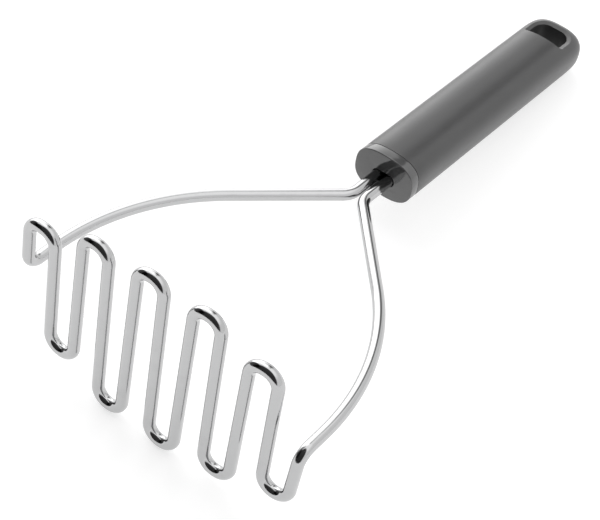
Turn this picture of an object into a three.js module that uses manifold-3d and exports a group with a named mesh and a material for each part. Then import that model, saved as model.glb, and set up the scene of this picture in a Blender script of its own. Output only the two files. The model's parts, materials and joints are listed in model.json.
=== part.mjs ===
// Wire potato masher: one bent steel wire, gripped in a hollow plastic handle behind a slotted cap.
// Millimetres, +Z up. The tool is drawn with its handle along +Y and its mashing side facing -Y,
// then laid down the way it rests on a table: on two of its lower bends and the end of the handle.
import * as THREE from 'three';
import { mergeVertices } from 'three/addons/utils/BufferGeometryUtils.js';
import Module from 'manifold-3d';

const wasm = await Module();
wasm.setup();

// Wire
const wireRadius = 2.3;
const wireSides = 14;
const bendStep = Math.PI / 10;
const bendStepLength = 8;

// Mashing head: eleven legs side by side, joined at the top and bottom by U-bends
const legPitch = 12;
const legCount = 11;
const endLegX = 60.4;
const legLean = 0.0098;
const lastLegLean = 0.05;
const headBow = 1.2 / 60 ** 2;
const topHeights = [21.2, 30.8, 33.2, 33.0, 25.9];
const bottomDepths = [33.9, 42.7, 42.7, 38.4, 29.8];
const uBendRadius = 5.5;
const cornerRadius = 5.5;

// Arms: two mirrored runs that rise a little from the feet of the end legs to the tangs in the handle
const armZ = -1.0;
const footZ = -3.4;
const armSlope = 0.925;
const armPassX = 19.6;
const armPassY = 97.3;
const armRadius = 97;
const mouthBendRadius = 9;
const tangX = 2.5;
const tangEndY = 188;

// Handle
const halfWidth = 13.2;
const halfThickness = 9.45;
const sectionPower = 2.67;
const sectionPoints = 56;
const capStartY = 132.4;
const capLength = 4.4;
const capBevel = 0.5;
const handleEndY = 261.7;
const endCornerRadius = 9.3;
const endCrown = 1.0;
const endEdgeRadius = 6.5;
const fitGap = 0.3;

// Hanging hole: straight across at the near side, rounded towards the end of the handle
const holeNearY = 244.8;
const holeFarY = 256.2;
const holeHalfWidth = 7.6;
const holeNearRadius = 1.2;
const holeFarRadius = 5.0;

// Socket inside the handle, the cap's spigot and the core that grips the tangs
const socketHalfWidth = 9.3;
const socketHalfHeight = 5.8;
const socketRadius = 3;
const socketDepth = 76;
const spigotLength = 8;
const coreLength = 60;
const slotClearance = 0.3;

const steel = new THREE.MeshStandardMaterial({ color: 0xc8c9cb, roughness: 0.12, metalness: 1 });
const satinPlastic = new THREE.MeshStandardMaterial({ color: 0x55565a, roughness: 0.42, metalness: 0 });
const glossPlastic = new THREE.MeshStandardMaterial({ color: 0x4a4b4e, roughness: 0.15, metalness: 0 });
const corePlastic = new THREE.MeshStandardMaterial({ color: 0x1d1e20, roughness: 0.6, metalness: 0 });

function solidOf(geometry) {
  const bare = geometry.clone();
  bare.deleteAttribute('normal');
  bare.deleteAttribute('uv');
  const merged = mergeVertices(bare, 1e-4);
  return new wasm.Manifold(new wasm.Mesh({
    numProp: 3,
    vertProperties: merged.attributes.position.array,
    triVerts: new Uint32Array(merged.index.array),
  }));
}

function geometryOf(solid) {
  const mesh = solid.getMesh();
  const geometry = new THREE.BufferGeometry();
  geometry.setAttribute('position', new THREE.BufferAttribute(mesh.vertProperties, 3));
  geometry.setIndex(new THREE.BufferAttribute(mesh.triVerts, 1));
  const flat = geometry.toNonIndexed();
  flat.computeVertexNormals();
  return flat;
}

// A section drawn in x and z, swept along y between two stations
function alongY(shape, fromY, toY, options = {}) {
  const geometry = new THREE.ExtrudeGeometry(shape, {
    depth: toY - fromY,
    bevelEnabled: false,
    curveSegments: 6,
    ...options,
  });
  geometry.rotateX(Math.PI / 2);
  geometry.translate(0, toY, 0);
  return geometry;
}

// An outline drawn in x and y, swept along z through the whole thickness
function alongZ(shape, halfHeight) {
  const geometry = new THREE.ExtrudeGeometry(shape, {
    depth: 2 * halfHeight,
    bevelEnabled: false,
    curveSegments: 6,
  });
  geometry.translate(0, 0, -halfHeight);
  return geometry;
}

function handleSection(inset = 0) {
  const points = [];
  for (let i = 0; i < sectionPoints; i += 1) {
    const angle = (2 * Math.PI * i) / sectionPoints;
    const reach = (value) => Math.sign(value) * Math.abs(value) ** (2 / sectionPower);
    points.push(new THREE.Vector2(
      (halfWidth - inset) * reach(Math.cos(angle)),
      (halfThickness - inset) * reach(Math.sin(angle)),
    ));
  }
  return new THREE.Shape(points);
}

function roundedBox(halfW, halfH, radius, centreY = 0) {
  const shape = new THREE.Shape();
  const quarter = Math.PI / 2;
  const corners = [[1, -1, -quarter], [1, 1, 0], [-1, 1, quarter], [-1, -1, 2 * quarter]];
  for (const [sideX, sideY, start] of corners) {
    const x = sideX * (halfW - radius);
    const y = centreY + sideY * (halfH - radius);
    shape.absarc(x, y, radius, start, start + quarter, false);
  }
  shape.closePath();
  return shape;
}

// ---- the wire's route: straight runs joined by round bends at a list of corners

function straightPiece(from, to) {
  const direction = to.clone().sub(from).normalize();
  return {
    steps: 1,
    pointAt: (t) => from.clone().lerp(to, t),
    tangentAt: () => direction.clone(),
  };
}

function bendPiece(from, incoming, outgoing, radius) {
  const turn = incoming.angleTo(outgoing);
  const towardsCentre = outgoing.clone()
    .addScaledVector(incoming, -incoming.dot(outgoing))
    .normalize();
  const centre = from.clone().addScaledVector(towardsCentre, radius);
  return {
    steps: Math.ceil(Math.max(turn / bendStep, (turn * radius) / bendStepLength)),
    pointAt: (t) => centre.clone()
      .addScaledVector(towardsCentre, -radius * Math.cos(turn * t))
      .addScaledVector(incoming, radius * Math.sin(turn * t)),
    tangentAt: (t) => incoming.clone()
      .multiplyScalar(Math.cos(turn * t))
      .addScaledVector(towardsCentre, Math.sin(turn * t)),
  };
}

function bentRun(corners) {
  const pieces = [];
  let from = corners[0].at;
  for (let i = 1; i < corners.length - 1; i += 1) {
    const { at, radius } = corners[i];
    const incoming = at.clone().sub(corners[i - 1].at).normalize();
    const outgoing = corners[i + 1].at.clone().sub(at).normalize();
    const setback = radius * Math.tan(incoming.angleTo(outgoing) / 2);
    const bendStart = at.clone().addScaledVector(incoming, -setback);
    pieces.push(straightPiece(from, bendStart));
    pieces.push(bendPiece(bendStart, incoming, outgoing, radius));
    from = at.clone().addScaledVector(outgoing, setback);
  }
  pieces.push(straightPiece(from, corners[corners.length - 1].at));
  return pieces;
}

// A curve that puts its stations at the ends of the straights and evenly round the bends
class WireCurve extends THREE.Curve {
  constructor(pieces) {
    super();
    this.stations = pieces.flatMap((piece) => (
      Array.from({ length: piece.steps }, (_, k) => [piece, k / piece.steps, (k + 1) / piece.steps])
    ));
  }

  at(u, read) {
    const place = u * this.stations.length;
    const index = Math.min(Math.floor(place), this.stations.length - 1);
    const [piece, start, end] = this.stations[index];
    return read(piece, start + (end - start) * (place - index));
  }

  getPoint(u) {
    return this.at(u, (piece, t) => piece.pointAt(t));
  }

  getPointAt(u) {
    return this.getPoint(u);
  }

  getTangentAt(u) {
    return this.at(u, (piece, t) => piece.tangentAt(t));
  }
}

function headPoint(leg, z) {
  const nominal = (leg - (legCount - 1) / 2) * legPitch;
  const lean = leg % 2 === 0 ? legLean : -legLean;
  let x = nominal + lean * z;
  if (leg === 0) x = -endLegX;
  if (leg === legCount - 1) x = endLegX + lastLegLean * (z - footZ);
  return new THREE.Vector3(x, wireRadius + headBow * x * x, z);
}

function armCorners(side) {
  const foot = headPoint(side < 0 ? 0 : legCount - 1, footZ);
  const shoulderY = armPassY - (endLegX - armPassX) / armSlope;
  const mouthY = armPassY + (armPassX - tangX) / armSlope;
  return [
    { at: foot, radius: cornerRadius },
    { at: new THREE.Vector3(side * endLegX, shoulderY, armZ), radius: armRadius },
    { at: new THREE.Vector3(side * tangX, mouthY, armZ), radius: mouthBendRadius },
    { at: new THREE.Vector3(side * tangX, tangEndY, armZ), radius: 0 },
  ];
}

function wireCorners() {
  const corners = armCorners(-1).reverse();
  for (let bend = 0; bend < legCount - 1; bend += 1) {
    const top = bend % 2 === 0;
    const reach = top ? topHeights[bend / 2] : -bottomDepths[(bend - 1) / 2];
    const z = reach - Math.sign(reach) * wireRadius;
    corners.push({ at: headPoint(bend, z), radius: uBendRadius });
    corners.push({ at: headPoint(bend + 1, z), radius: uBendRadius });
  }
  return corners.concat(armCorners(1));
}

function bentWire() {
  const section = new THREE.Shape();
  section.absarc(0, 0, wireRadius, 0, 2 * Math.PI, false);
  const curve = new WireCurve(bentRun(wireCorners()));
  return new THREE.ExtrudeGeometry(section, {
    steps: curve.stations.length,
    curveSegments: wireSides / 2,
    extrudePath: curve,
  });
}

// ---- the handle

const shellStartY = capStartY + capLength + fitGap;

function handlePlan() {
  const plan = new THREE.Shape();
  const sideY = handleEndY - endCrown;
  const cornerX = endCornerRadius - halfWidth;
  const cornerY = sideY - endCornerRadius;
  plan.moveTo(-halfWidth - 1, shellStartY);
  plan.lineTo(halfWidth + 1, shellStartY);
  plan.lineTo(halfWidth + 1, sideY - endCornerRadius);
  plan.lineTo(halfWidth, sideY - endCornerRadius);
  plan.absarc(-cornerX, cornerY, endCornerRadius, 0, Math.PI / 2, false);
  plan.quadraticCurveTo(0, sideY + 2 * endCrown, endCornerRadius - halfWidth, sideY);
  plan.absarc(cornerX, cornerY, endCornerRadius, Math.PI / 2, Math.PI, false);
  plan.lineTo(-halfWidth - 1, sideY - endCornerRadius);
  plan.closePath();
  return plan;
}

// The side profile, drawn in y and z, rounds the far end from top to bottom
function handleSideCut() {
  const profile = roundedBox(
    (handleEndY - shellStartY) / 2 + endEdgeRadius,
    halfThickness + 0.2,
    endEdgeRadius,
  );
  const geometry = new THREE.ExtrudeGeometry(profile, {
    depth: 4 * halfWidth,
    bevelEnabled: false,
    curveSegments: 6,
  });
  geometry.translate(0, 0, -2 * halfWidth);
  geometry.rotateY(Math.PI / 2);
  geometry.rotateX(Math.PI / 2);
  geometry.translate(0, (handleEndY + shellStartY) / 2 - endEdgeRadius, 0);
  return geometry;
}

function hangingHole() {
  const hole = new THREE.Shape();
  const nearX = holeHalfWidth - holeNearRadius;
  const farX = holeHalfWidth - holeFarRadius;
  const nearY = holeNearY + holeNearRadius;
  const farY = holeFarY - holeFarRadius;
  hole.absarc(nearX, nearY, holeNearRadius, -Math.PI / 2, 0, false);
  hole.absarc(farX, farY, holeFarRadius, 0, Math.PI / 2, false);
  hole.absarc(-farX, farY, holeFarRadius, Math.PI / 2, Math.PI, false);
  hole.absarc(-nearX, nearY, holeNearRadius, Math.PI, 1.5 * Math.PI, false);
  hole.closePath();
  return alongZ(hole, 2 * halfThickness);
}

function tangSlot(clearance, fromY, toY) {
  const halfH = wireRadius + clearance;
  return alongY(roundedBox(tangX + halfH, halfH, halfH - 0.01, armZ), fromY, toY);
}

function handleShell() {
  const socketEnd = shellStartY + socketDepth;
  const socket = roundedBox(socketHalfWidth, socketHalfHeight, socketRadius);
  const body = solidOf(alongY(handleSection(), shellStartY, handleEndY))
    .intersect(solidOf(alongZ(handlePlan(), 2 * halfThickness)))
    .intersect(solidOf(handleSideCut()))
    .subtract(solidOf(alongY(socket, shellStartY - 1, socketEnd)))
    .subtract(solidOf(hangingHole()));
  return geometryOf(body);
}

function frontCap() {
  const spigotShape = roundedBox(socketHalfWidth - fitGap, socketHalfHeight - fitGap, socketRadius - fitGap);
  const plateEnd = capStartY + capLength;
  const spigotEnd = plateEnd + spigotLength;
  const plate = alongY(handleSection(capBevel), capStartY + capBevel, plateEnd - capBevel, {
    bevelEnabled: true,
    bevelThickness: capBevel,
    bevelSize: capBevel,
    bevelSegments: 1,
  });
  const body = solidOf(plate)
    .add(solidOf(alongY(spigotShape, plateEnd - 1, spigotEnd)))
    .subtract(solidOf(tangSlot(slotClearance, capStartY - 1, spigotEnd + 1)));
  return geometryOf(body);
}

function tangCore() {
  const start = capStartY + capLength + spigotLength + fitGap;
  const shape = roundedBox(socketHalfWidth - fitGap, socketHalfHeight - fitGap, socketRadius - fitGap);
  const body = solidOf(alongY(shape, start, start + coreLength))
    .subtract(solidOf(tangSlot(slotClearance, start - 1, tangEndY + fitGap)));
  return geometryOf(body);
}

// ---- the assembly, laid on the table

const tool = new THREE.Group();
const pieces = [
  ['bent_wire', bentWire(), steel],
  ['handle_shell', handleShell(), satinPlastic],
  ['front_cap', frontCap(), glossPlastic],
  ['tang_core', tangCore(), corePlastic],
];
for (const [name, geometry, material] of pieces) {
  const mesh = new THREE.Mesh(geometry, material);
  mesh.name = name;
  tool.add(mesh);
}

// It leans on its lowest bends at the head and on the underside of the handle's far end
const headDepth = Math.max(...bottomDepths);
const handleRestY = handleEndY - endEdgeRadius;
const layAngle = Math.atan2(headDepth - halfThickness, handleRestY - wireRadius);
tool.rotation.x = -layAngle;
tool.updateMatrixWorld(true);
const box = new THREE.Box3().setFromObject(tool, true);
const centre = box.getCenter(new THREE.Vector3());
tool.position.set(-centre.x, -centre.y, -box.min.z);

const assembly = new THREE.Group();
assembly.add(tool);
export default assembly;
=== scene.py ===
import json
import math

import bmesh
import bpy
from mathutils import Matrix, Vector


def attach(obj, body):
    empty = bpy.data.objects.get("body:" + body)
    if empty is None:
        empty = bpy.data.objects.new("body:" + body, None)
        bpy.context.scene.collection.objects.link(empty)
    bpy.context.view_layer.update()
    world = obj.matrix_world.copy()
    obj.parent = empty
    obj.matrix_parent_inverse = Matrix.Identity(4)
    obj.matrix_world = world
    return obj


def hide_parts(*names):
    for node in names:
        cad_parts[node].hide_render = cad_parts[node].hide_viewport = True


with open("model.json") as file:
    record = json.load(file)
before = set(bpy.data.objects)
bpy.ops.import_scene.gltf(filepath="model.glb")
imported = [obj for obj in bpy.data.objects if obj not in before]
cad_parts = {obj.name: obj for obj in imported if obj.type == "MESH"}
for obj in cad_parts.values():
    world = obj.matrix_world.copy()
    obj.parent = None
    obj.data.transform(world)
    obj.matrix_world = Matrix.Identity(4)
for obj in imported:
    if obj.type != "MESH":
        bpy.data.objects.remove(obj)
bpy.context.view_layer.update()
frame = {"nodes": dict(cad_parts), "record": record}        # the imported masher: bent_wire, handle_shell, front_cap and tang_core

mm = 0.001
print("frame loaded:", ", ".join(sorted(frame["nodes"])))


# the tool is drawn with its handle along +Y and its mashing side facing -Y,
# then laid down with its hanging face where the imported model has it

hole = {
    "nearY": 244.8 * mm,
    "farY": 256.2 * mm,
    "halfWidth": 7.6 * mm,
    "nearRadius": 1.2 * mm,
    "farRadius": 5.0 * mm,
    "chamferWidth": 1.5 * mm,
    "chamferDepth": 1.12 * mm,
    "chamferRunOn": 0.6,     # how far the slope of the cutter carries on above the skin, in chamfers
    "overrun": 2 * mm,       # how far the cutter stands out of the handle
    "points": 72,
}

hangFace = next(mount for mount in frame["record"]["mounts"] if mount["name"] == "hang_face")
layAngle = math.atan2(hangFace["axis"][2], -hangFace["axis"][1])
toolPlace = (
    Matrix.Translation(Vector(hangFace["pos_m"]))
    @ Matrix.Rotation(-layAngle, 4, "X")
    @ Matrix.Translation((0, -hole["farY"], 0))
)


# helpers for every piece

weldDistance = 0.002 * mm
sharpEdgeAngle = 32          # degrees; gentler edges are shaded smooth


def startRing(bm, points):
    # a closed ring; each of its points remembers its turn about the ring's middle
    turn = bm.verts.layers.float.new("turn")
    verts = bmesh.ops.create_circle(bm, cap_ends=True, radius=1, segments=points)["verts"]
    for vert in verts:
        vert[turn] = math.atan2(vert.co.y, vert.co.x) + math.pi / points
    return verts, edgesAmong(verts)


def edgesAmong(verts):
    chosen = set(verts)
    edges = dict.fromkeys(edge for vert in verts for edge in vert.link_edges)
    return [edge for edge in edges if set(edge.verts) <= chosen]


def growRing(bm, ring):
    grown = bmesh.ops.extrude_edge_only(bm, edges=ring)["geom"]
    verts = [part for part in grown if isinstance(part, bmesh.types.BMVert)]
    return verts, edgesAmong(verts)


def closeEnd(bm, ring):
    bmesh.ops.contextual_create(bm, geom=ring)
    bmesh.ops.recalc_face_normals(bm, faces=bm.faces)


def lofted(points, stations):
    # a solid along the tool, whose outline at each y is given by the stations in turn
    bm = bmesh.new()
    verts, ring = startRing(bm, points)
    turn = bm.verts.layers.float["turn"]
    for index, (y, outline) in enumerate(stations):
        if index:
            verts, ring = growRing(bm, ring)
        for vert in verts:
            x, z = outline(vert[turn])
            vert.co = (x, y, z)
    closeEnd(bm, ring)
    return bm


def objectFrom(bm, name):
    mesh = bpy.data.meshes.new(name)
    bm.to_mesh(mesh)
    bm.free()
    made = bpy.data.objects.new(name, mesh)
    bpy.context.scene.collection.objects.link(made)
    return made


def cutAway(bm, cutters):
    # takes the cutters' shapes out of the solid in bm
    helpers = [objectFrom(bm, "cutBody")] + [objectFrom(cutter, "cutter") for cutter in cutters]
    for helper in helpers[1:]:
        cut = helpers[0].modifiers.new("cut", "BOOLEAN")
        cut.operation = "DIFFERENCE"
        cut.solver = "EXACT"
        cut.object = helper
    result = bmesh.new()
    result.from_object(helpers[0], bpy.context.evaluated_depsgraph_get())
    for helper in helpers:
        bpy.data.objects.remove(helper)
    bmesh.ops.remove_doubles(result, verts=result.verts, dist=weldDistance)
    bmesh.ops.dissolve_degenerate(result, edges=result.edges, dist=weldDistance)
    return result


def finishPiece(bm, name, material, node, sharpAngle=sharpEdgeAngle):
    bmesh.ops.transform(bm, matrix=toolPlace, verts=bm.verts)
    bmesh.ops.recalc_face_normals(bm, faces=bm.faces)
    piece = objectFrom(bm, name)
    piece.data.shade_smooth()
    piece.data.set_sharp_from_angle(angle=math.radians(sharpAngle))
    piece.data.materials.append(material)
    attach(piece, "root")
    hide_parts(node)
    print("made", name, len(piece.data.polygons), "faces")


# shader maths

class Socket:
    # an output of a node; adding, multiplying and so on makes the Math nodes
    def __init__(self, finish, output):
        self.finish = finish
        self.output = output

    def __add__(self, other):
        return self.finish.maths("ADD", self, other)

    def __radd__(self, other):
        return self.finish.maths("ADD", other, self)

    def __sub__(self, other):
        return self.finish.maths("SUBTRACT", self, other)

    def __rsub__(self, other):
        return self.finish.maths("SUBTRACT", other, self)

    def __mul__(self, other):
        return self.finish.maths("MULTIPLY", self, other)

    def __rmul__(self, other):
        return self.finish.maths("MULTIPLY", other, self)


class Finish:
    # a material or a world while its nodes are being put together
    def __init__(self, owner):
        owner.use_nodes = True
        self.owner = owner
        self.tree = owner.node_tree
        self.tree.nodes.clear()

    def node(self, kind, settings, inputs, output=0):
        made = self.tree.nodes.new(kind)
        for key, value in settings.items():
            setattr(made, key, value)
        for key, value in inputs.items():
            if isinstance(value, Socket):
                self.tree.links.new(value.output, made.inputs[key])
            else:
                made.inputs[key].default_value = value
        return Socket(self, made.outputs[output]) if len(made.outputs) else made

    def maths(self, operation, first, second):
        return self.node("ShaderNodeMath", {"operation": operation}, {0: first, 1: second})

    def noise(self, vector, scale, detail=2.0, roughness=0.5):
        return self.node(
            "ShaderNodeTexNoise", {},
            {"Vector": vector, "Scale": scale, "Detail": detail, "Roughness": roughness},
        )

    def band(self, value, low, high):
        # 0 below low, 1 above high, smooth between
        return self.node(
            "ShaderNodeMapRange", {"interpolation_type": "SMOOTHSTEP"},
            {"Value": value, "From Min": low, "From Max": high},
        )

    def mixColour(self, factor, first, second):
        # inputs 6 and 7 and output 2 are the Mix node's colour ones
        return self.node(
            "ShaderNodeMix", {"data_type": "RGBA"}, {0: factor, 6: (*first, 1), 7: (*second, 1)}, 2,
        )

    def bump(self, height, strength, distance):
        return self.node(
            "ShaderNodeBump", {}, {"Height": height, "Strength": strength, "Distance": distance},
        )

    def surface(self, inputs):
        shader = self.node("ShaderNodeBsdfPrincipled", {}, inputs)
        self.node("ShaderNodeOutputMaterial", {}, {"Surface": shader})
        return self.owner


def objectPlace(finish):
    return finish.node("ShaderNodeTexCoord", {}, {}, "Object")


# the finishes

steelFinish = {
    "shade": (0.500, 0.501, 0.505),
    "darkShade": (0.478, 0.479, 0.483),
    "roughness": 0.105,
    "lines": {"scale": 9, "detail": 3.0, "roughness": 0.6},       # cells per wire radius, round the wire
    "linePatches": {"scale": 55, "detail": 3.0},                  # cells per metre, as all others are
    "linePatchBand": (0.42, 0.66),
    "lineRoughness": 0.035,
    "lineDepth": 0.0012 * mm,
    "lineStrength": 0.5,
    "smudges": {"scale": 170, "detail": 4.0, "roughness": 0.62},
    "smudgeBand": (0.5, 0.72),
    "smudgeRoughness": 0.04,
    "smudgeShading": 0.7,
}


def polishedSteel():
    # drawn and polished wire: faint die lines run along it, broken up by handling marks
    finish = Finish(bpy.data.materials.new("polished_steel"))
    place = objectPlace(finish)
    grain = finish.node("ShaderNodeAttribute", {"attribute_name": "grain"}, {}, "Vector")
    lines = finish.noise(grain, **steelFinish["lines"])
    patches = finish.band(finish.noise(place, **steelFinish["linePatches"]), *steelFinish["linePatchBand"])
    smudges = finish.band(finish.noise(place, **steelFinish["smudges"]), *steelFinish["smudgeBand"])
    roughness = (
        steelFinish["roughness"]
        + lines * patches * steelFinish["lineRoughness"]
        + smudges * steelFinish["smudgeRoughness"]
    )
    return finish.surface({
        "Base Color": finish.mixColour(
            smudges * steelFinish["smudgeShading"], steelFinish["shade"], steelFinish["darkShade"],
        ),
        "Metallic": 1.0,
        "Roughness": roughness,
        "Normal": finish.bump(lines * patches, steelFinish["lineStrength"], steelFinish["lineDepth"]),
    })


satinFinish = {
    "shade": (0.052, 0.052, 0.0527),
    "paleShade": (0.057, 0.057, 0.0577),
    "ior": 1.62,
    "roughness": 0.33,
    "grain": {"scale": 5200, "detail": 2.0, "roughness": 0.55},   # the fine texture left by the mould
    "grainRoughness": 0.08,
    "grainDepth": 0.02 * mm,
    "grainStrength": 0.35,
    "flow": {"scale": 38, "detail": 3.0},                         # the slight marbling of the colour
    "flowBand": (0.35, 0.7),
    "rubbed": {"scale": 60, "detail": 3.0},
    "rubbedBand": (0.45, 0.7),
    "rubbedRoughness": -0.03,
}


def satinPlastic():
    # charcoal plastic from a spark-textured mould, a little smoother where hands rub it
    finish = Finish(bpy.data.materials.new("satin_charcoal_plastic"))
    place = objectPlace(finish)
    grain = finish.noise(place, **satinFinish["grain"])
    flow = finish.band(finish.noise(place, **satinFinish["flow"]), *satinFinish["flowBand"])
    rubbed = finish.band(finish.noise(place, **satinFinish["rubbed"]), *satinFinish["rubbedBand"])
    roughness = (
        satinFinish["roughness"]
        + rubbed * satinFinish["rubbedRoughness"]
        + (grain - 0.5) * satinFinish["grainRoughness"]
    )
    return finish.surface({
        "Base Color": finish.mixColour(flow, satinFinish["shade"], satinFinish["paleShade"]),
        "Roughness": roughness,
        "IOR": satinFinish["ior"],
        "Normal": finish.bump(grain, satinFinish["grainStrength"], satinFinish["grainDepth"]),
    })


glossFinish = {
    "shade": (0.066, 0.066, 0.0668),
    "hazeShade": (0.070, 0.070, 0.0708),
    "ior": 1.85,
    "roughness": 0.05,
    "haze": {"scale": 240, "detail": 4.0, "roughness": 0.6},
    "hazeBand": (0.42, 0.7),
    "hazeRoughness": 0.05,
    "specks": {"scale": 2600, "detail": 2.0},
    "speckRoughness": 0.03,
    "waves": {"scale": 160, "detail": 1.0},
    "waveDepth": 0.004 * mm,
    "waveStrength": 0.4,
}


def glossPlastic():
    # the cap's polished moulding, with a faint flow pattern and wipe haze
    finish = Finish(bpy.data.materials.new("gloss_charcoal_plastic"))
    place = objectPlace(finish)
    haze = finish.band(finish.noise(place, **glossFinish["haze"]), *glossFinish["hazeBand"])
    waves = finish.noise(place, **glossFinish["waves"])
    specks = finish.noise(place, **glossFinish["specks"])
    return finish.surface({
        "Base Color": finish.mixColour(haze, glossFinish["shade"], glossFinish["hazeShade"]),
        "Roughness": (
            glossFinish["roughness"]
            + haze * glossFinish["hazeRoughness"]
            + specks * glossFinish["speckRoughness"]
        ),
        "IOR": glossFinish["ior"],
        "Normal": finish.bump(waves, glossFinish["waveStrength"], glossFinish["waveDepth"]),
    })


coreFinish = {
    "shade": (0.017, 0.017, 0.018),
    "paleShade": (0.026, 0.026, 0.027),
    "roughness": 0.5,
    "flow": {"scale": 90, "detail": 4.0, "roughness": 0.6},
    "flowRoughness": 0.2,
    "pits": {"scale": 1800, "detail": 2.0},
    "pitDepth": 0.03 * mm,
    "pitStrength": 0.4,
}


def corePlastic():
    # plain black moulding, seen only down the slot
    finish = Finish(bpy.data.materials.new("core_black_plastic"))
    place = objectPlace(finish)
    flow = finish.noise(place, **coreFinish["flow"])
    pits = finish.noise(place, **coreFinish["pits"])
    return finish.surface({
        "Base Color": finish.mixColour(flow, coreFinish["shade"], coreFinish["paleShade"]),
        "Roughness": coreFinish["roughness"] + flow * coreFinish["flowRoughness"],
        "Normal": finish.bump(pits, coreFinish["pitStrength"], coreFinish["pitDepth"]),
    })


# the wire: one length, from tang end to tang end

wire = {
    "radius": 2.3 * mm,
    "sides": 40,
    "sharpAngle": 50,        # degrees; keeps the tight bends smooth and the two ends crisp
    "bendStep": math.radians(4),
    "bendStepLength": 1.6 * mm,
    "legPitch": 12 * mm,
    "legCount": 11,
    "endLegX": 60.4 * mm,
    "legLean": 0.0098,
    "lastLegLean": 0.05,
    "headBow": 0.333,        # how fast the head bows back towards its ends, per metre
    "topHeights": [21.2, 30.8, 33.2, 33.0, 25.9],     # mm, to the outside of each bend
    "bottomDepths": [33.9, 42.7, 42.7, 38.4, 29.8],
    "uBendRadius": 5.5 * mm,
    "cornerRadius": 5.5 * mm,
    "armZ": -1.0 * mm,
    "footZ": -3.4 * mm,
    "armSlope": 0.925,
    "armPassX": 19.6 * mm,
    "armPassY": 97.3 * mm,
    "armRadius": 97 * mm,
    "mouthBendRadius": 9 * mm,
    "tangX": 2.5 * mm,
    "tangEndY": 188 * mm,
}


def headPoint(leg, z):
    nominal = (leg - (wire["legCount"] - 1) / 2) * wire["legPitch"]
    lean = wire["legLean"] if leg % 2 == 0 else -wire["legLean"]
    x = nominal + lean * z
    if leg == 0:
        x = -wire["endLegX"]
    if leg == wire["legCount"] - 1:
        x = wire["endLegX"] + wire["lastLegLean"] * (z - wire["footZ"])
    return Vector((x, wire["radius"] + wire["headBow"] * x * x, z))


def armCorners(side):
    foot = headPoint(0 if side < 0 else wire["legCount"] - 1, wire["footZ"])
    shoulderY = wire["armPassY"] - (wire["endLegX"] - wire["armPassX"]) / wire["armSlope"]
    mouthY = wire["armPassY"] + (wire["armPassX"] - wire["tangX"]) / wire["armSlope"]
    return [
        (foot, wire["cornerRadius"]),
        (Vector((side * wire["endLegX"], shoulderY, wire["armZ"])), wire["armRadius"]),
        (Vector((side * wire["tangX"], mouthY, wire["armZ"])), wire["mouthBendRadius"]),
        (Vector((side * wire["tangX"], wire["tangEndY"], wire["armZ"])), 0),
    ]


def wireCorners():
    corners = armCorners(-1)[::-1]
    for bend in range(wire["legCount"] - 1):
        if bend % 2 == 0:
            z = wire["topHeights"][bend // 2] * mm - wire["radius"]
        else:
            z = wire["radius"] - wire["bottomDepths"][bend // 2] * mm
        corners.append((headPoint(bend, z), wire["uBendRadius"]))
        corners.append((headPoint(bend + 1, z), wire["uBendRadius"]))
    return corners + armCorners(1)


def startWire(bm, at, heading):
    # the first ring; "grain" holds each point's place round the wire, and the copies keep it
    grain = bm.verts.layers.float_vector.new("grain")
    facing = heading.to_track_quat("Z", "Y").to_matrix().to_4x4()
    made = bmesh.ops.create_circle(
        bm, cap_ends=True, radius=wire["radius"], segments=wire["sides"],
    )["verts"]
    for vert in made:
        vert[grain] = vert.co / wire["radius"]
    bmesh.ops.transform(bm, matrix=Matrix.Translation(at) @ facing, verts=made)
    return edgesAmong(made)


def straightOn(bm, ring, step):
    verts, ring = growRing(bm, ring)
    bmesh.ops.translate(bm, verts=verts, vec=step)
    return ring


def roundBend(bm, ring, start, incoming, outgoing, radius):
    turn = incoming.angle(outgoing)
    inward = (outgoing - incoming * incoming.dot(outgoing)).normalized()
    steps = math.ceil(max(turn / wire["bendStep"], turn * radius / wire["bendStepLength"]))
    spun = bmesh.ops.spin(
        bm, geom=ring, cent=start + inward * radius, axis=incoming.cross(inward),
        dvec=(0, 0, 0), angle=turn, steps=steps,
    )
    return [part for part in spun["geom_last"] if isinstance(part, bmesh.types.BMEdge)]


def bentWire(material):
    corners = wireCorners()
    at = corners[0][0]
    bm = bmesh.new()
    ring = startWire(bm, at, (corners[1][0] - at).normalized())
    for before, corner, after in zip(corners, corners[1:], corners[2:]):
        incoming = (corner[0] - before[0]).normalized()
        outgoing = (after[0] - corner[0]).normalized()
        setback = corner[1] * math.tan(incoming.angle(outgoing) / 2)
        bendStart = corner[0] - incoming * setback
        ring = straightOn(bm, ring, bendStart - at)
        ring = roundBend(bm, ring, bendStart, incoming, outgoing, corner[1])
        at = corner[0] + outgoing * setback
    ring = straightOn(bm, ring, corners[-1][0] - at)
    closeEnd(bm, ring)
    finishPiece(bm, "zigzag_wire", material, "bent_wire", wire["sharpAngle"])


# the handle

handle = {
    "halfWidth": 13.2 * mm,
    "halfThickness": 9.45 * mm,
    "sectionPower": 2.67,
    "points": 96,
    "capStartY": 132.4 * mm,
    "capLength": 4.4 * mm,
    "capRound": 0.4 * mm,
    "capBackRound": 0.2 * mm,
    "fitGap": 0.3 * mm,
    "partingGap": 0.12 * mm,
    "rimRound": 0.2 * mm,
    "endY": 261.7 * mm,
    "shoulderY": 240 * mm,   # where the far end starts to round
    "endPower": 6,
    "tipShare": 0.2,         # the small flat at the very end, as a share of the section
    "endRings": 34,
    "plainRings": 16,
    "roundRings": 5,
}

socket = {
    "halfWidth": 9.3 * mm,
    "halfHeight": 5.8 * mm,
    "radius": 3 * mm,
    "depth": 76 * mm,
    "spigotLength": 8 * mm,
    "slotClearance": 0.3 * mm,
    "slotRound": 0.22 * mm,
    "slotRoundSegments": 3,
    "slotRimAngle": math.radians(60),     # edges sharper than this are the slot's rim
    "slotRimFlatness": 0.01 * mm,
    "points": 64,
}
shellStartY = handle["capStartY"] + handle["capLength"] + handle["partingGap"]


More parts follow.
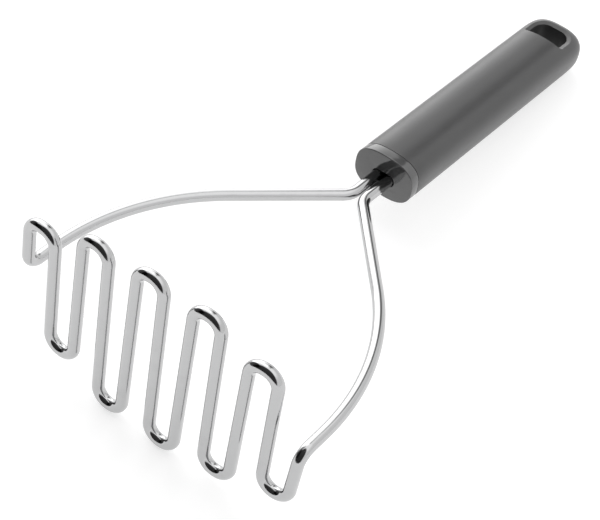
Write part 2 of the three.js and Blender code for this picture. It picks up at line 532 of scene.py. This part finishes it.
def signedPower(value, power):
    return math.copysign(abs(value) ** power, value)


def oval(inset=0, share=1):
    # the handle's section; share shrinks it towards the far end
    def outline(turn):
        reach = 2 / handle["sectionPower"]
        return (
            (handle["halfWidth"] - inset) * share * signedPower(math.cos(turn), reach),
            (handle["halfThickness"] - inset) * share * signedPower(math.sin(turn), reach),
        )
    return outline


def roundedBox(halfWidth, halfHeight, radius, centreZ=0):
    def outline(turn):
        x = math.copysign(halfWidth - radius, math.cos(turn)) + radius * math.cos(turn)
        z = math.copysign(halfHeight - radius, math.sin(turn)) + radius * math.sin(turn)
        return x, centreZ + z
    return outline


def endShare(y):
    # how much of the full section is left at y
    along = max(0, (y - handle["shoulderY"]) / (handle["endY"] - handle["shoulderY"]))
    return max(0, 1 - along ** handle["endPower"]) ** (1 / handle["endPower"])


def topAt(x, y):
    # the height of the handle's skin over the point x, y
    share = endShare(y)
    across = min(abs(x) / (handle["halfWidth"] * share), 1)
    power = handle["sectionPower"]
    return handle["halfThickness"] * share * (1 - across ** power) ** (1 / power)


def roundOver(y, radius, direction):
    # stations of a quarter-round edge: direction 1 opens out from y, -1 closes in on y
    angles = [math.pi / 2 * k / handle["roundRings"] for k in range(handle["roundRings"] + 1)]
    rise = [(y + direction * radius * (1 - math.cos(a)), oval(radius * (1 - math.sin(a)))) for a in angles]
    return rise[::direction]


def shellStations():
    stations = roundOver(shellStartY, handle["rimRound"], 1)
    length = handle["shoulderY"] - shellStartY
    for k in range(1, handle["plainRings"]):
        stations.append((shellStartY + length * k / handle["plainRings"], oval()))
    for k in range(handle["endRings"]):
        bend = math.pi / 2 * k / handle["endRings"]
        reach = math.sin(bend) ** (2 / handle["endPower"])
        y = handle["shoulderY"] + (handle["endY"] - handle["shoulderY"]) * reach
        stations.append((y, oval(0, endShare(y))))
    stations.append((handle["endY"], oval(0, handle["tipShare"])))
    return stations


def holeOutline(turn, flare):
    # the hanging hole seen from above; flare widens it, but leaves its near edge where it is
    side = math.cos(turn)
    reach = math.sin(turn)
    radius = hole["farRadius"] if reach > 0 else hole["nearRadius"]
    middle = hole["farY"] - radius if reach > 0 else hole["nearY"] + radius
    x = math.copysign(hole["halfWidth"] - radius, side) + (radius + flare) * side
    y = middle + radius * reach + flare * max(reach, 0)
    return x, y


def holeCutter():
    depth = hole["chamferDepth"]
    flare = hole["chamferWidth"]
    lid = handle["halfThickness"] + hole["overrun"]
    runOn = hole["chamferRunOn"]
    # each level is a widening and a height over the skin; None is the cutter's flat end
    levels = [((1 + runOn) * flare, None), ((1 + runOn) * flare, runOn * depth), (0, -depth)]
    levels = [(-1, *level) for level in levels] + [(1, *level) for level in reversed(levels)]
    bm = bmesh.new()
    verts, ring = startRing(bm, hole["points"])
    turn = bm.verts.layers.float["turn"]
    for index, (side, widening, standing) in enumerate(levels):
        if index:
            verts, ring = growRing(bm, ring)
        for vert in verts:
            x, y = holeOutline(vert[turn], widening)
            z = lid if standing is None else topAt(x, y) + standing
            vert.co = (x, y, side * z)
    closeEnd(bm, ring)
    return bm


def handleShell(material):
    body = lofted(handle["points"], shellStations())
    inside = roundedBox(socket["halfWidth"], socket["halfHeight"], socket["radius"])
    socketCutter = lofted(socket["points"], [
        (shellStartY - socket["spigotLength"], inside),
        (shellStartY + socket["depth"], inside),
    ])
    bm = cutAway(body, [socketCutter, holeCutter()])
    finishPiece(bm, "handle_grip", material, "handle_shell")


def frontCap(material):
    plateEnd = handle["capStartY"] + handle["capLength"]
    spigotEnd = plateEnd + socket["spigotLength"]
    gap = handle["fitGap"]
    spigot = roundedBox(socket["halfWidth"] - gap, socket["halfHeight"] - gap, socket["radius"] - gap)
    stations = roundOver(handle["capStartY"], handle["capRound"], 1)
    stations += roundOver(plateEnd, handle["capBackRound"], -1)
    stations += [(plateEnd, spigot), (spigotEnd, spigot)]
    body = lofted(handle["points"], stations)
    halfSlot = wire["radius"] + socket["slotClearance"]
    slotShape = roundedBox(wire["tangX"] + halfSlot, halfSlot, halfSlot, wire["armZ"])
    slot = lofted(socket["points"], [
        (handle["capStartY"] - gap, slotShape),
        (spigotEnd + gap, slotShape),
    ])
    bm = cutAway(body, [slot])
    roundSlotRim(bm)
    finishPiece(bm, "slotted_cap", material, "front_cap")


def roundSlotRim(bm):
    # breaks the sharp edge where the two tangs go in
    reach = wire["tangX"] + wire["radius"] + 2 * socket["slotClearance"]
    flatness = socket["slotRimFlatness"]
    rim = [
        edge for edge in bm.edges
        if all(abs(v.co.y - handle["capStartY"]) < flatness and abs(v.co.x) < reach for v in edge.verts)
        and abs(edge.calc_face_angle(0)) > socket["slotRimAngle"]
    ]
    bmesh.ops.bevel(
        bm, geom=rim, offset=socket["slotRound"], segments=socket["slotRoundSegments"],
        profile=0.5, affect="EDGES", material=-1,
    )


# camera, floor and light

camera = {
    "azimuth": math.radians(34.12),
    "elevation": math.radians(49.29),
    "roll": math.radians(5.627),
    "distance": 637.4 * mm,
    "target": Vector((4.52, -53.08, 30.0)) * mm,
    "lens": 106.55,
    "sensorWidth": 36,
    "clipEnd": 20.0,
}


def placeCamera():
    data = bpy.data.cameras.new("camera")
    data.lens = camera["lens"]
    data.sensor_width = camera["sensorWidth"]
    data.clip_end = camera["clipEnd"]
    back = Vector((
        math.sin(camera["azimuth"]) * math.cos(camera["elevation"]),
        -math.cos(camera["azimuth"]) * math.cos(camera["elevation"]),
        math.sin(camera["elevation"]),
    ))
    seer = bpy.data.objects.new("camera", data)
    turned = back.to_track_quat("Z", "Y").to_matrix().to_4x4() @ Matrix.Rotation(camera["roll"], 4, "Z")
    seer.matrix_world = Matrix.Translation(camera["target"] + back * camera["distance"]) @ turned
    bpy.context.scene.collection.objects.link(seer)
    bpy.context.scene.camera = seer


studio = {
    "floorHalf": 20.0,
    "floorShade": (0.52, 0.52, 0.52),
    "floorRoughness": 0.9,
    "floorSpecular": 0.1,
    "floorGlow": 0.655,      # keeps the table white under the dark walls
    "skyLight": 1.0,
    "softboxSize": 1.6,
    "softboxAt": Vector((-0.9, 0.9, 1.9)),
    "softboxPower": 4.5,
}

# soft patches of the studio's walls, applied in order, in degrees: azimuth (0 is +Y, 90 is +X) and
# elevation of the middle, then how far from it a patch is full and where it has faded. A number is
# the light that it adds; a name is one of patchDepth's shares of the light that it takes away
studioPatches = [
    (0, 90, 25, 58, 0.45),
    (292, 2, 24, 54, 1.9),
    (182, 34, 46, 54, "dark"),
    (244, 16, 25, 36, "dark"),
    (350, 26, 5, 12, "line"),
    (349, 42, 6, 12, "line"),
    (345, 59, 5, 10, "line"),
]
patchDepth = {"dark": 0.96, "line": 0.80}


def layFloor():
    bm = bmesh.new()
    bmesh.ops.create_grid(bm, x_segments=2, y_segments=2, size=studio["floorHalf"])
    floor = objectFrom(bm, "floor")
    finish = Finish(bpy.data.materials.new("white_table"))
    floor.data.materials.append(finish.surface({
        "Base Color": (*studio["floorShade"], 1),
        "Roughness": studio["floorRoughness"],
        "Specular IOR Level": studio["floorSpecular"],
        "Emission Color": (1, 1, 1, 1),
        "Emission Strength": studio["floorGlow"],
    }))


def wallPatch(finish, direction, azimuth, elevation, full, faded):
    across = math.radians(azimuth)
    up = math.radians(elevation)
    middle = Vector((math.sin(across) * math.cos(up), math.cos(across) * math.cos(up), math.sin(up)))
    towards = finish.node(
        "ShaderNodeVectorMath", {"operation": "DOT_PRODUCT"}, {0: direction, 1: middle}, "Value",
    )
    return finish.band(towards, math.cos(math.radians(faded)), math.cos(math.radians(full)))


def lightStudio():
    world = bpy.data.worlds.new("studio")
    bpy.context.scene.world = world
    finish = Finish(world)
    direction = finish.node("ShaderNodeTexCoord", {}, {}, "Generated")
    strength = studio["skyLight"]
    for azimuth, elevation, full, faded, change in studioPatches:
        patch = wallPatch(finish, direction, azimuth, elevation, full, faded)
        if change in patchDepth:
            strength = strength * (1 - patch * patchDepth[change])
        else:
            strength = strength + patch * change
    background = finish.node("ShaderNodeBackground", {}, {"Color": (1, 1, 1, 1), "Strength": strength})
    finish.node("ShaderNodeOutputWorld", {}, {"Surface": background})
    softbox = bpy.data.lights.new("softbox", "AREA")
    softbox.shape = "DISK"
    softbox.size = studio["softboxSize"]
    softbox.energy = studio["softboxPower"]
    lamp = bpy.data.objects.new("softbox", softbox)
    lamp.location = studio["softboxAt"]
    lamp.rotation_euler = (-studio["softboxAt"]).to_track_quat("-Z", "Y").to_euler()
    bpy.context.scene.collection.objects.link(lamp)
    bpy.context.scene.view_settings.view_transform = "Standard"


placeCamera()
layFloor()
lightStudio()
print("studio ready")

bentWire(polishedSteel())
handleShell(satinPlastic())
frontCap(glossPlastic())
core = frame["nodes"]["tang_core"]
core.data.materials.clear()
core.data.materials.append(corePlastic())
print("finished tang_core")
